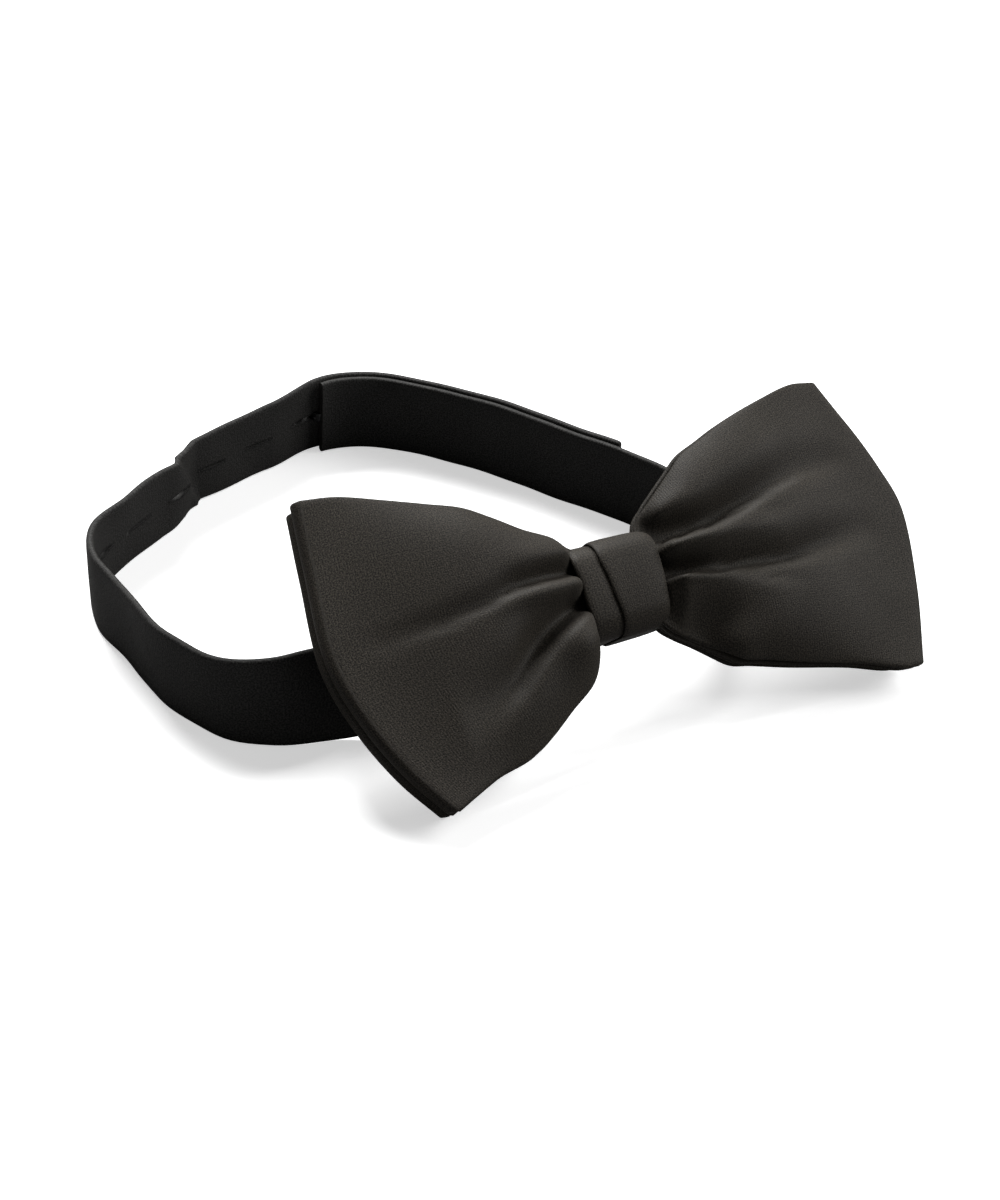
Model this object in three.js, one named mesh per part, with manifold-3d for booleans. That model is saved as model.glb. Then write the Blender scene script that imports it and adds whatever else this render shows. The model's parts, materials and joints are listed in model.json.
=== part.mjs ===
// Pre-tied satin bow tie on an adjustable neck band, standing as it is laid on a table:
// the bow leans back on its lower wing corners and the band stands on its edge behind it.
// Millimetres and degrees. +X is the wearer's bow length, +Y goes back into the neck loop, +Z is up.

import * as THREE from 'three';
import { mergeVertices } from 'three/addons/utils/BufferGeometryUtils.js';
import Module from 'manifold-3d';

// ---- Bow ----
const leftReach = 59; // knot centre to the left wing's tip
const rightReach = 61.6; // the right wing is pulled out a little further
const cornerUp = 29.8; // knot centre to an upper wing corner, along the bow's face
const cornerDown = 30.8; // knot centre to a lower wing corner
const upperCornerOut = 56; // knot centre to an upper corner, along the bow's length
const lowerCornerOut = 50; // the same to a lower corner
const edgeSwell = 1.8; // how fast a front wing widens away from the knot
const rearSwell = 1.4; // the rear wings widen more slowly, so the front ones hide them
const rearDrop = 1; // the rear loop hangs this much lower
const bowLean = 48.5; // how far the standing bow leans back from upright
const wingSplay = 0.106; // the lower half of a wing comes forward by this much per mm of height
const satinWall = 0.4; // the bow's satin
const bowLining = 0.5; // the bow's woven interlining
const clothGap = 0.25; // between satin and interlining
const pinchGap = 0.4; // between a loop's two panels where it is tied
const liningMargin = 1.2; // the interlining ends this far inside the satin's long edges
const foldRadius = 1.9; // outer radius of the fold at a wing's tip
const frontBelly = 1.6; // how far the front panel of the front loop puffs out
const stackGap = 0.3; // between cloth pieces stacked under the knot
const tipGap = 0.5; // between the front and rear loops at the tips
const tipForward = 1.15; // the front loop's tips stand this far in front of its waist
const pleatDepth = 0.9; // of the valleys that run out from the knot
const pleats = [
  // middle and width of each valley as shares of a wing's half height, and its depth's share
  { middle: 0.2, width: 0.2, share: 1 },
  { middle: -0.45, width: 0.22, share: 0.8 },
];
const openShare = 0.35; // from the knot to here, a wing opens out to its full thickness

// ---- Knot ----
const waistHalf = 7.3; // half the height of the bow where it is tied
const knotWidth = 16;
const knotWall = 0.9;
const knotTuck = 0.7; // the step of the tuck in the knot's satin
const tuckAt = -3; // the tuck's place across the knot, from its middle
const tuckRun = 0.1; // length of the tuck's slope
const tuckFade = 0.6; // share of the tuck's step that is left at the knot's right side
const rolledEdge = 0.35; // share of the knot's wall that is left at its rolled side edges
const leftRoll = 0.6; // width of the rolled left edge
const rightRoll = 1;
const knotCorner = 1.1; // inner radius where the knot turns over its top and bottom
const threadDiameter = 0.6;
const threadTurns = 3;
const threadPitch = 1.6;
const threadGap = 0.2;
const threadCorner = 0.8; // radius of the thread's turn over the waist's edges
const seamHalf = 1.1; // half the gap between the wrap's two ends, where they are whipped together
const whipStitches = 7;
const whipRun = 13; // length of their row
const whipSlant = 0.45; // half the height of a stitch
const whipThread = [0.35, 0.25]; // half the width and half the thickness of the thread, pulled flat

// ---- Neck band ----
const bandWidth = 18;
const tiedBandWidth = 16; // the band is drawn in where it goes through the knot
const backTilt = 8; // the band leans in by this much at the back left
const bandWall = 0.4; // the band's satin
const bandLining = 0.4;
const bandGap = 0.25; // between the band's satin and its interlining
const bandEase = 0.4; // bevel of the band's long edges
const flexGap = 1.8; // opening at a place where the band bends
const knotSideGap = 1; // between the knot's side and the band that leaves it
const stripGap = 0.4; // between the hook strip and the slit strip that lies outside it
const hookStripEnd = 201.1; // along the band from the knot to the hook strip's end
const rightBendBack = 50; // along the band from the knot, the right way round, to its bend
// Stretches along the band, from the knot, over which it changes
const leftTwist = [34, 82]; // the left side rights itself from the bow's lean
const leftFall = [10, 58]; // and comes down to the surface that the tie stands on
const rightTwist = [15, 44];
const rightFall = [12, 42];
const leanIn = [122, 140]; // the back left begins to lean in
const leanOut = [186, 212]; // and ends
const stepOut = [16, 3]; // before the hook strip's end, the slit strip steps out to clear it
const routeSwitch = 20; // past the hook strip's end, places are counted from the knot's right side

// ---- Slits and hook ----
const slitCount = 11;
const slitPitch = 12.7; // half an inch, one collar size
const hookedSlit = 6; // the one that the hook is in, counted from the left
const slitLength = 8;
const slitHeight = 2;
const slitLead = 5.7; // plain cloth before the first slit
const slitTail = 6.5; // plain cloth after the last slit
const hookedBefore = 6.6; // from the hook strip's end back to the middle of the hooked slit
const slitWall = 0.35; // the buttonhole stitching that lines a slit
const slitFit = 0.2; // between the stitching and the cut cloth
const slitCorner = 0.48; // bevel of the stitching's corners
const slitProud = 0.05; // the stitching stands this far out of the cloth
const hookSheet = 0.5; // thickness of the hook's metal
const hookNeck = 2; // width of the hook's neck
const hookNeckFit = 0.3; // between the neck and the slit that it spreads open
const hookPlate = [5, 13]; // length and height of the plate sewn into the hook strip
const plateInset = 0.8; // the plate stands this far inside the strip's end
const hookBar = [2.4, 7]; // width and height of the T's bar, which goes through a slit lengthwise
const hookDive = 1.1; // length along the band in which the neck goes out through the slit
const hookEndFit = 0.3; // between the neck and the slit's end
const neckRun = 0.5; // length of neck outside the band
const shoulder = 0.15; // length of the slope where the metal widens

const rad = THREE.MathUtils.degToRad;
const { smoothstep, clamp, lerp } = THREE.MathUtils;
const vec = (x, y, z) => new THREE.Vector3(x, y, z);
const steps = (count, from, to) =>
  Array.from({ length: count + 1 }, (_, i) => lerp(from, to, i / count));

// ---- Materials ----
const cloth = (name, color, roughness) =>
  new THREE.MeshStandardMaterial({ name, color, roughness, metalness: 0 });
const bowSatin = () => cloth('bow_satin', 0x3a3633, 0.5);
const bandSatin = () => cloth('band_satin', 0x242322, 0.6);
const canvas = () => cloth('interlining', 0xb9b4a6, 0.95);
const thread = () => cloth('thread', 0x1c1b1b, 0.8);
const lacqueredSteel = () =>
  new THREE.MeshStandardMaterial({ name: 'hook_metal', color: 0x202020, roughness: 0.35, metalness: 0.8 });

// ---- Closed meshes from rings of points ----
// Joins a row of rings, each a closed outline with the same number of points. The last ring joins
// the first when the row is a loop, and is capped otherwise.
function meshFromRings(rings, isLoop) {
  const size = rings[0].length;
  const index = [];
  const joins = isLoop ? rings.length : rings.length - 1;
  for (let i = 0; i < joins; i += 1) {
    const a = i * size;
    const b = ((i + 1) % rings.length) * size;
    for (let k = 0; k < size; k += 1) {
      const n = (k + 1) % size;
      index.push(a + k, b + k, b + n, a + k, b + n, a + n);
    }
  }
  if (!isLoop) {
    const last = (rings.length - 1) * size;
    for (let k = 1; k < size - 1; k += 1) {
      index.push(0, k, k + 1, last, last + k + 1, last + k);
    }
  }
  return solidGeometry(rings.flat(), index);
}

// A hollow strip: an outer and an inner outline at each place, open at its start and, unless it is
// closed there, at its end.
function tubeFromRings(outer, inner, closedEnd) {
  const size = outer[0].length;
  const points = [...outer.flat(), ...inner.flat()];
  const skip = outer.length * size;
  const index = [];
  const quad = (a, b, c, d) => index.push(a, b, c, a, c, d);
  for (let k = 0; k < size; k += 1) {
    const n = (k + 1) % size;
    for (let i = 0; i < outer.length - 1; i += 1) {
      quad(i * size + k, (i + 1) * size + k, (i + 1) * size + n, i * size + n);
    }
    for (let i = 0; i < inner.length - 1; i += 1) {
      const a = skip + i * size;
      quad(a + k, a + n, a + size + n, a + size + k);
    }
    quad(k, n, skip + n, skip + k);
    if (!closedEnd) {
      const a = (outer.length - 1) * size;
      const b = skip + (inner.length - 1) * size;
      quad(a + k, b + k, b + n, a + n);
    }
  }
  if (closedEnd) {
    const a = (outer.length - 1) * size;
    const b = skip + (inner.length - 1) * size;
    for (let k = 1; k < size - 1; k += 1) {
      index.push(a, a + k + 1, a + k, b, b + k, b + k + 1);
    }
  }
  return solidGeometry(points, index);
}

function volumeOf(points, index) {
  let sum = 0;
  for (let i = 0; i < index.length; i += 3) {
    const [a, b, c] = [points[index[i]], points[index[i + 1]], points[index[i + 2]]];
    sum += a.dot(vec(0, 0, 0).crossVectors(b, c));
  }
  return sum;
}

// A geometry whose faces point out, whichever way its rings ran.
function solidGeometry(points, index) {
  if (volumeOf(points, index) < 0) index.reverse();
  const geometry = new THREE.BufferGeometry();
  const numbers = points.flatMap((p) => [p.x, p.y, p.z]);
  geometry.setAttribute('position', new THREE.Float32BufferAttribute(numbers, 3));
  geometry.setIndex(index);
  return geometry;
}

// ---- Cutting ----
const wasm = await Module();
wasm.setup();

function manifoldOf(geometry) {
  const merged = mergeVertices(geometry);
  return new wasm.Manifold(
    new wasm.Mesh({
      numProp: 3,
      vertProperties: new Float32Array(merged.attributes.position.array),
      triVerts: new Uint32Array(merged.index.array),
    }),
  );
}

function cut(geometry, cutters) {
  const solid = cutters.reduce((rest, cutter) => rest.subtract(manifoldOf(cutter)), manifoldOf(geometry));
  const mesh = solid.getMesh();
  const result = new THREE.BufferGeometry();
  result.setAttribute('position', new THREE.Float32BufferAttribute(mesh.vertProperties, 3));
  result.setIndex([...mesh.triVerts]);
  return result;
}

// ---- The bow's two loops ----
// In the bow's own frame: x along its length, y up its face, z out of its face, with the front
// loop's waist at z = 0. Each loop is a wide strip of cloth folded back at the wing tips.
const knotHalf = knotWidth / 2;
const panel = satinWall + clothGap + bowLining;
const waistDepth = panel + pinchGap / 2; // half the thickness of a loop pinched at the waist
const frontLoop = {
  waist: 0,
  tip: tipForward,
  drop: 0,
  swell: edgeSwell,
  belly: frontBelly,
  pleat: pleatDepth,
};
const rearLoop = {
  waist: -(2 * waistDepth + stackGap),
  tip: tipForward - (2 * foldRadius + tipGap),
  drop: rearDrop,
  swell: rearSwell,
  belly: 0,
  pleat: 0,
};

// How far out a wing's tip reaches at height share q, from -1 at the lower edge to 1 at the upper.
function tipReach(side, q) {
  const reach = side > 0 ? rightReach : leftReach;
  const mean = reach - (upperCornerOut + lowerCornerOut) / 2;
  const skew = (upperCornerOut - lowerCornerOut) / 2;
  return reach - mean * q * q + skew * q;
}

// Half height of a wing at a share of the way from the knot to the tip.
function wingEdge(loop, share, q) {
  const corner = q > 0 ? cornerUp : cornerDown;
  return waistHalf + (corner - waistHalf) * (1 - (1 - share) ** loop.swell);
}

// The valleys that the knot gathers into the front panel, deepest a third of the way to the tip.
function pleatAt(share, q) {
  const along = (share * (1 - share) ** 2) / ((1 / 3) * (2 / 3) ** 2);
  const valley = (pleat) => pleat.share * Math.exp(-(((q - pleat.middle) / pleat.width) ** 2));
  return along * pleats.reduce((sum, pleat) => sum + valley(pleat), 0);
}

// A point of a loop. The place says which panel or fold it is on, and depth is measured inwards
// from the satin's outer face.
function loopPoint(loop, place, row, depth, margin) {
  const edge = wingEdge(loop, place.share, row);
  const q = clamp(row, margin / edge - 1, 1 - margin / edge);
  const tipCentre = tipReach(place.side, q) - foldRadius;
  const opened = smoothstep(place.share, 0, openShare);
  const mid = lerp(loop.waist, loop.tip, opened);
  const y = q * edge - loop.drop * opened;
  const splay = -wingSplay * y * place.share;
  if (place.turn !== undefined) {
    const r = foldRadius - depth;
    const x = place.side * (tipCentre + r * Math.cos(place.turn));
    return vec(x, y, mid + splay + r * Math.sin(place.turn));
  }
  const x = place.side * (place.knot * knotHalf + place.share * (tipCentre - knotHalf));
  const puff = place.face > 0 ? loop.belly * 4 * place.share * (1 - place.share) : 0;
  const fold = place.face > 0 ? loop.pleat * pleatAt(place.share, q) : 0;
  const half = lerp(waistDepth, foldRadius, opened) + puff - fold;
  return vec(x, y, mid + splay + place.face * (half - depth));
}

// The places round a loop: front panel left to right, right fold, back panel, left fold.
function loopPlaces() {
  const half = [
    { knot: 0.5, share: 0 },
    ...steps(wingSteps, 0, 1).map((share) => ({ knot: 1, share: share ** crowding })),
  ];
  const middle = { knot: 0, share: 0, side: 1 };
  const leftToRight = [
    ...half.map((p) => ({ ...p, side: -1 })).reverse(),
    middle,
    ...half.map((p) => ({ ...p, side: 1 })),
  ];
  const fold = (side) => [45, 0, -45].map((turn) => ({ side, share: 1, turn: rad(turn) }));
  return [
    ...leftToRight.map((p) => ({ ...p, face: 1 })),
    ...fold(1),
    ...leftToRight.map((p) => ({ ...p, face: -1 })).reverse(),
    ...fold(-1).reverse(),
  ];
}

const clothRows = 8; // from a loop's lower edge to its upper one
const wingSteps = 7; // from the knot to a wing's tip
const crowding = 0.9; // the steps are a little wider near the knot

function loopSkin(loop, { outside, wall, margin }) {
  const rings = loopPlaces().map((place) => [
    ...steps(clothRows, -1, 1).map((q) => loopPoint(loop, place, q, outside, margin)),
    ...steps(clothRows, 1, -1).map((q) => loopPoint(loop, place, q, outside + wall, margin)),
  ]);
  return meshFromRings(rings, true);
}

const satinSkin = { outside: 0, wall: satinWall, margin: 0 };
const liningSkin = { outside: satinWall + clothGap, wall: bowLining, margin: liningMargin };

// ---- The knot ----
const bandThickness = 2 * (bandWall + bandGap) + bandLining;
const threadRoom = 2 * threadGap + threadDiameter;
const waistBack = rearLoop.waist - waistDepth;
const bandBehind = waistBack - threadRoom - bandThickness / 2; // z of the band there
const knotInnerFront = waistDepth + threadRoom;
const knotInnerBack = bandBehind - bandThickness / 2 - stackGap;
const knotInnerHalf = Math.max(waistHalf + threadRoom, tiedBandWidth / 2 + stackGap);

const knotSteps = 4; // in each of the knot's rounded corners

// A rounded rectangle in the y-z plane, as points with their outward directions.
function roundedLoop(half, front, back, radius, arcSteps) {
  const corners = [
    [half - radius, front - radius, 0],
    [-(half - radius), front - radius, 90],
    [-(half - radius), back + radius, 180],
    [half - radius, back + radius, 270],
  ];
  return corners.flatMap(([y, z, start]) =>
    steps(arcSteps, start, start + 90).map((angle) => {
      const out = vec(0, Math.cos(rad(angle)), Math.sin(rad(angle)));
      return { point: vec(0, y, z).addScaledVector(out, radius), out };
    }),
  );
}

// The wrap's satin is one strip round the middle, from the seam behind it round to the seam again,
// and a tuck doubles it over part of its width.
function knotWrap() {
  const outer = [
    [-knotHalf, knotWall * rolledEdge],
    [-knotHalf + leftRoll, knotWall],
    [tuckAt - tuckRun, knotWall],
    [tuckAt, knotWall + knotTuck],
    [knotHalf - rightRoll, knotWall + knotTuck * tuckFade],
    [knotHalf, knotWall * rolledEdge],
  ];
  const loop = roundedLoop(knotInnerHalf, knotInnerFront, knotInnerBack, knotCorner, knotSteps);
  const end = (y) => ({ point: vec(0, y, knotInnerBack), out: vec(0, 0, -1) });
  const lastCorner = loop.splice(-(knotSteps + 1));
  const path = [end(seamHalf), ...lastCorner, ...loop, end(-seamHalf)];
  const rings = path.map(({ point, out }) => {
    const share = smoothstep(out.z, -0.5, 0.4); // the tuck fades out round the back
    const section = outer.map(([x, depth]) => {
      const flat = Math.min(depth, knotWall);
      return vec(x, 0, 0).add(point).addScaledVector(out, lerp(flat, depth, share));
    });
    const inner = [knotHalf, -knotHalf].map((x) => vec(x, 0, 0).add(point));
    return [...section, ...inner];
  });
  return meshFromRings(rings, false);
}

// One waxed thread wound round both loops at the waist.
function gatherThread() {
  const r = threadDiameter / 2;
  const away = threadGap + r;
  const loop = roundedLoop(waistHalf + away, waistDepth + away, waistBack - away, threadCorner, 2);
  const count = threadTurns * loop.length;
  const rings = steps(count, 0, count).map((i) => {
    const { point, out } = loop[i % loop.length];
    const x = threadPitch * (i / loop.length - threadTurns / 2);
    return steps(5, 0, 300).map((angle) =>
      vec(x + r * Math.cos(rad(angle)), 0, 0).add(point).addScaledVector(out, r * Math.sin(rad(angle))),
    );
  });
  return meshFromRings(rings, false);
}

// One row of whip stitches that joins the wrap's ends behind the knot, sunk in the seam.
function knotStitches() {
  const [w, t] = whipThread;
  const z = knotInnerBack - knotWall / 2;
  const rings = steps(2 * whipStitches, -1, 1).map((share, i) => {
    const x = (share * whipRun) / 2;
    const y = i % 2 ? whipSlant : -whipSlant;
    return [[w, 0], [0, t], [-w, 0], [0, -t]].map(([dy, dz]) => vec(x, y + dy, z + dz));
  });
  return meshFromRings(rings, false);
}

// ---- The band's route ----
const lean = rad(bowLean);
// The lowest point of the bow is the rear loop's lower corner, so it sets the bow's height.
const rearCornerY = cornerDown + rearDrop;
const rearCornerZ = rearLoop.tip - foldRadius + wingSplay * rearCornerY;
const bowHeight = rearCornerY * Math.cos(lean) - rearCornerZ * Math.sin(lean);
const knotBack = -bandBehind * Math.cos(lean); // how far the band is behind the bow's centre
const knotRise = bowHeight + bandBehind * Math.sin(lean);
const standing = (tilt) => (bandWidth / 2) * Math.cos(tilt) + (bandThickness / 2) * Math.sin(tilt);

// Seen from above, from the knot to the left, round the back and to the knot again.
const route = new THREE.CatmullRomCurve3(
  [
    [0, knotBack],
    [-13.4, knotBack],
    [-34.6, 6.1],
    [-54.7, 8.6],
    [-65.8, 10],
    [-73.9, 14.4],
    [-80, 25.9],
    [-82.9, 41.3],
    [-84.9, 54.7],
    [-82.2, 64.8],
    [-72.6, 72.9],
    [-64.6, 77.8],
    [-60.2, 80.2],
    [-57.4, 83],
    [-54.9, 86.2],
    [-51, 88],
    [-38.8, 92],
    [-25.9, 95.2],
    [-17.8, 96.2],
    [-9.6, 93],
    [4.6, 79.7],
    [17.3, 61],
    [27.8, 44.2],
    [32.6, 31.7],
    [30.2, 18.2],
    [22.1, 8.3],
    [12.5, knotBack],
  ].map(([x, y]) => vec(x, y, 0)),
  true,
);
route.arcLengthDivisions = 1500;
const loopLength = route.getLength();

const rising = (s, stretch) => smoothstep(s, ...stretch);
const falling = (s, stretch) => 1 - rising(s, stretch);
const tiltAtBack = (s) => rad(backTilt) * rising(s, leanIn) * falling(s, leanOut);
const tiltOnLeft = (s) => lean * falling(s, leftTwist) + tiltAtBack(s);
const tiltOnRight = (s) => lean * falling(s, rightTwist);
const liftAtKnot = knotRise - standing(lean);
const liftOnLeft = (s) => liftAtKnot * falling(s, leftFall);
const liftOnRight = (s) => liftAtKnot * falling(s, rightFall);

// A point of the band: s along it from the knot, up its width from the middle, and out of the
// loop from its centre layer.
function bandPoint(s, up, out) {
  const along = ((s % loopLength) + loopLength) % loopLength;
  const fromRight = loopLength - along;
  const onLeft = along < hookStripEnd + routeSwitch;
  const tilt = onLeft ? tiltOnLeft(along) : tiltOnRight(fromRight);
  const lift = onLeft ? liftOnLeft(along) : liftOnRight(fromRight);
  const point = route.getPointAt(along / loopLength);
  const ahead = route.getTangentAt(along / loopLength);
  const outward = vec(-ahead.y, ahead.x, 0);
  const z = standing(tilt) + lift;
  return vec(point.x, point.y, z)
    .addScaledVector(outward, -up * Math.sin(tilt) + out * Math.cos(tilt))
    .add(vec(0, 0, up * Math.cos(tilt) + out * Math.sin(tilt)));
}

// Outline of a flat strip with eased long edges.
function stripOutline(width, thickness, ease) {
  const [w, t] = [width / 2, thickness / 2];
  const [a, b] = [w - ease, t - ease];
  return [[a, t], [w, b], [w, -b], [a, -t], [-a, -t], [-w, -b], [-w, b], [-a, t]];
}

const bandStep = 4; // all strips bend at the same places along the route, so that they nest
const shortestStep = bandStep / 8;
const outAt = (shift, s) => (typeof shift === 'function' ? shift(s) : shift);

function placesAlong(from, to) {
  const places = [from];
  const first = Math.floor(from / bandStep) + 1;
  for (let s = first * bandStep; s < to; s += bandStep) {
    if (s - from > shortestStep && to - s > shortestStep) places.push(s);
  }
  return [...places, to];
}

// The band's satin, pressed flat round its interlining, and shifted out where it lies on a strip.
function bandSatinTube(from, to, { width = bandWidth, shift = 0, closedEnd = false }) {
  const outline = stripOutline(width, bandThickness, bandEase);
  const hollow = stripOutline(width - 2 * bandWall, bandThickness - 2 * bandWall, bandEase / 2);
  const ring = (shape) => (s) => shape.map(([up, out]) => bandPoint(s, up, out + outAt(shift, s)));
  const places = placesAlong(from, to);
  const innerPlaces = [...places];
  if (closedEnd) innerPlaces[innerPlaces.length - 1] = to - bandWall;
  return tubeFromRings(places.map(ring(outline)), innerPlaces.map(ring(hollow)), closedEnd);
}

function bandCanvas(from, to, { width = bandWidth, shift = 0 }) {
  const [w, t] = [width / 2 - bandWall - bandGap, bandLining / 2];
  const outline = [[w, t], [w, -t], [-w, -t], [-w, t]];
  const rings = placesAlong(from, to).map((s) =>
    outline.map(([up, out]) => bandPoint(s, up, out + outAt(shift, s))),
  );
  return meshFromRings(rings, false);
}

// The slit strip runs on the route until the hook strip begins, and outside it from there on.
const besideHook = bandThickness + stripGap;
const stepFrom = hookStripEnd - stepOut[0];
const stepTo = hookStripEnd - stepOut[1];
const slitStripShift = (s) => besideHook * smoothstep(s, stepFrom, stepTo);

// ---- Slits ----
const hookedAt = hookStripEnd - hookedBefore;
const slitPlace = (n) => hookedAt + (n - hookedSlit) * slitPitch;
const spreadHeight = hookNeck + 2 * (hookNeckFit + slitWall);
const stitchedHeight = (n) => (n === hookedSlit ? spreadHeight : slitHeight - 2 * slitFit);
const slitStripFrom = slitPlace(1) - slitLength / 2 - slitLead;
const slitStripEnd = slitPlace(slitCount) + slitLength / 2 + slitTail;

// An upright slot through the strip at a slit, long along the band.
function slitCutter(n) {
  const s = slitPlace(n);
  const h = stitchedHeight(n) / 2 + slitFit;
  const reach = bandThickness;
  const rings = steps(2, s - slitLength / 2, s + slitLength / 2).map((at) =>
    [[h, reach], [h, -reach], [-h, -reach], [-h, reach]].map(([up, out]) =>
      bandPoint(at, up, out + slitStripShift(at)),
    ),
  );
  return meshFromRings(rings, false);
}

// Buttonhole stitching: a sleeve of thread round the slit's edges.
function slitStitching(n) {
  const s = slitPlace(n);
  const half = slitLength / 2 - slitFit;
  const h = stitchedHeight(n) / 2;
  const face = bandThickness / 2 + slitProud;
  const corner = Math.min(slitCorner, h / 2);
  const outline = [
    [half - corner, h], [half, h - corner], [half, -h + corner], [half - corner, -h],
    [-half + corner, -h], [-half, -h + corner], [-half, h - corner], [-half + corner, h],
  ];
  const inward = [(half - slitWall) / half, (h - slitWall) / h];
  const rings = outline.map(([along, up]) => {
    const at = (scale, out) => {
      const place = s + along * scale[0];
      return bandPoint(place, up * scale[1], out + slitStripShift(place));
    };
    return [at([1, 1], face), at([1, 1], -face), at(inward, -face), at(inward, face)];
  });
  return meshFromRings(rings, true);
}

// ---- T-hook ----
// A plate sewn into the hook strip's end, a neck that goes out through the slit, and a bar across
// it on the outside. Each place gives s, half the height there and how far out the sheet is.
function tHook() {
  const [plateLength, plateHeight] = hookPlate;
  const [barWidth, barHeight] = hookBar;
  const outside = besideHook + bandThickness / 2 + stripGap + hookSheet / 2;
  const nearEnd = hookedAt + slitLength / 2 - slitWall - slitFit; // the slit's end by the hook strip
  const plateFrom = hookStripEnd + plateInset;
  const plate = placesAlong(plateFrom, plateFrom + plateLength).reverse();
  const diveFrom = nearEnd - hookEndFit;
  const neckEnd = diveFrom - hookDive - neckRun;
  const places = [
    ...plate.map((s) => [s, plateHeight / 2, 0]),
    [plateFrom - shoulder, hookNeck / 2, 0],
    [diveFrom, hookNeck / 2, 0],
    [diveFrom - hookDive, hookNeck / 2, outside],
    [neckEnd, hookNeck / 2, outside],
    [neckEnd - shoulder, barHeight / 2, outside],
    [neckEnd - shoulder - barWidth, barHeight / 2, outside],
  ];
  const t = hookSheet / 2;
  const rings = places.map(([s, h, out]) =>
    [[h, t], [h, -t], [-h, -t], [-h, t]].map(([up, o]) => bandPoint(s, up, out + o)),
  );
  return meshFromRings(rings, false);
}

// ---- Assembly ----
const tie = new THREE.Group();
const bow = new THREE.Group();
bow.rotation.x = Math.PI / 2 - lean;
bow.position.z = bowHeight;
tie.add(bow);

function addPiece(group, name, geometry, material) {
  const mesh = new THREE.Mesh(geometry, material);
  mesh.name = name;
  group.add(mesh);
}

addPiece(bow, 'front_bow_satin', loopSkin(frontLoop, satinSkin), bowSatin());
addPiece(bow, 'front_bow_interlining', loopSkin(frontLoop, liningSkin), canvas());
addPiece(bow, 'rear_bow_satin', loopSkin(rearLoop, satinSkin), bowSatin());
addPiece(bow, 'rear_bow_interlining', loopSkin(rearLoop, liningSkin), canvas());
addPiece(bow, 'gather_thread', gatherThread(), thread());
addPiece(bow, 'knot_wrap', knotWrap(), bowSatin());
addPiece(bow, 'knot_stitches', knotStitches(), thread());

const knotBandHalf = knotHalf + knotSideGap / 2;
const knotSide = knotBandHalf + knotSideGap; // where the free band begins
const leftBandEnd = slitStripFrom - flexGap;
const rightBend = loopLength - rightBendBack;
const inset = bandGap; // an interlining ends this far inside an open end
const plateRoom = plateInset + hookPlate[0] + bandGap; // the hook's plate takes the interlining's place
const sections = [
  { name: 'knot_band', from: -knotBandHalf, to: knotBandHalf, width: tiedBandWidth },
  { name: 'left_band', from: knotSide, to: leftBandEnd },
  { name: 'right_band', from: rightBend + flexGap / 2, to: loopLength - knotSide },
  { name: 'hook_strip', from: hookStripEnd, to: rightBend - flexGap / 2, room: plateRoom },
];
for (const { name, from, to, width, room = 0 } of sections) {
  const lining = bandCanvas(from + inset + room, to - inset, { width });
  addPiece(tie, name, bandSatinTube(from, to, { width }), bandSatin());
  addPiece(tie, `${name}_interlining`, lining, canvas());
}

const slits = Array.from({ length: slitCount }, (_, i) => i + 1);
const cutters = slits.map(slitCutter);
const besideStrip = { shift: slitStripShift, closedEnd: true };
const slitSatin = bandSatinTube(slitStripFrom, slitStripEnd, besideStrip);
const slitCanvas = bandCanvas(slitStripFrom + inset, slitStripEnd - bandWall - inset, besideStrip);
addPiece(tie, 'slit_strip', cut(slitSatin, cutters), bandSatin());
addPiece(tie, 'slit_strip_interlining', cut(slitCanvas, cutters), canvas());
for (const n of slits) {
  addPiece(tie, `buttonhole_stitching_${String(n).padStart(2, '0')}`, slitStitching(n), thread());
}
addPiece(tie, 't_hook', tHook(), lacqueredSteel());

// The origin is under the middle of the whole object, on the surface that it stands on.
tie.updateMatrixWorld(true);
const bounds = new THREE.Box3().setFromObject(tie, true);
const middle = bounds.getCenter(vec(0, 0, 0));
const group = new THREE.Group();
tie.position.set(-middle.x, -middle.y, -bounds.min.z);
group.add(tie);

export default group;
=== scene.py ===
"""Ready-tied satin bow tie: two gathered loops, a wrapped knot and a hooked neck band."""

import json
import math

import bpy
import numpy as np
from bpy.props import FloatProperty, FloatVectorProperty, IntProperty, PointerProperty
from mathutils import Matrix, Vector


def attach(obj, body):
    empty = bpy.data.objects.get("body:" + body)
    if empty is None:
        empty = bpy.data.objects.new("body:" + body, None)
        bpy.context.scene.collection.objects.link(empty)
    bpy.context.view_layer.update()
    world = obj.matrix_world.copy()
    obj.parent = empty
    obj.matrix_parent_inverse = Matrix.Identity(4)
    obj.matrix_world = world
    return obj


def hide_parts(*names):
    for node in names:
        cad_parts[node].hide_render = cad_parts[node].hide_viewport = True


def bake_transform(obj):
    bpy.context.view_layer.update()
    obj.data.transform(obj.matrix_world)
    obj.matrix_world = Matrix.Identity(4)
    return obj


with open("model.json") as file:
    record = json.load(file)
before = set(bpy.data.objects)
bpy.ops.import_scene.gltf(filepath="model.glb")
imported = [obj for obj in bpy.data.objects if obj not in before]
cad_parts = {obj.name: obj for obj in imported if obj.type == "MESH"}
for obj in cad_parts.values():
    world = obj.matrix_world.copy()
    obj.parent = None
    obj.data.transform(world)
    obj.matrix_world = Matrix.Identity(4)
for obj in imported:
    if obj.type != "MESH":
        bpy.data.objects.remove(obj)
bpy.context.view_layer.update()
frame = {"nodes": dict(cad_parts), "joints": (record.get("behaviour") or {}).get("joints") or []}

bl_info = {
    "name": "Ready-Tied Bow Tie",
    "version": (1, 0, 0),
    "blender": (4, 5, 0),
    "location": "3D View > Sidebar > Bow Tie",
    "description": "Sews a ready-tied bow tie with a hooked, adjustable neck band",
    "category": "Object",
}

MM = 0.001
joints = {joint["name"]: joint for joint in frame["joints"]}
tilt_joint = joints["bow_tilt"]

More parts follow.
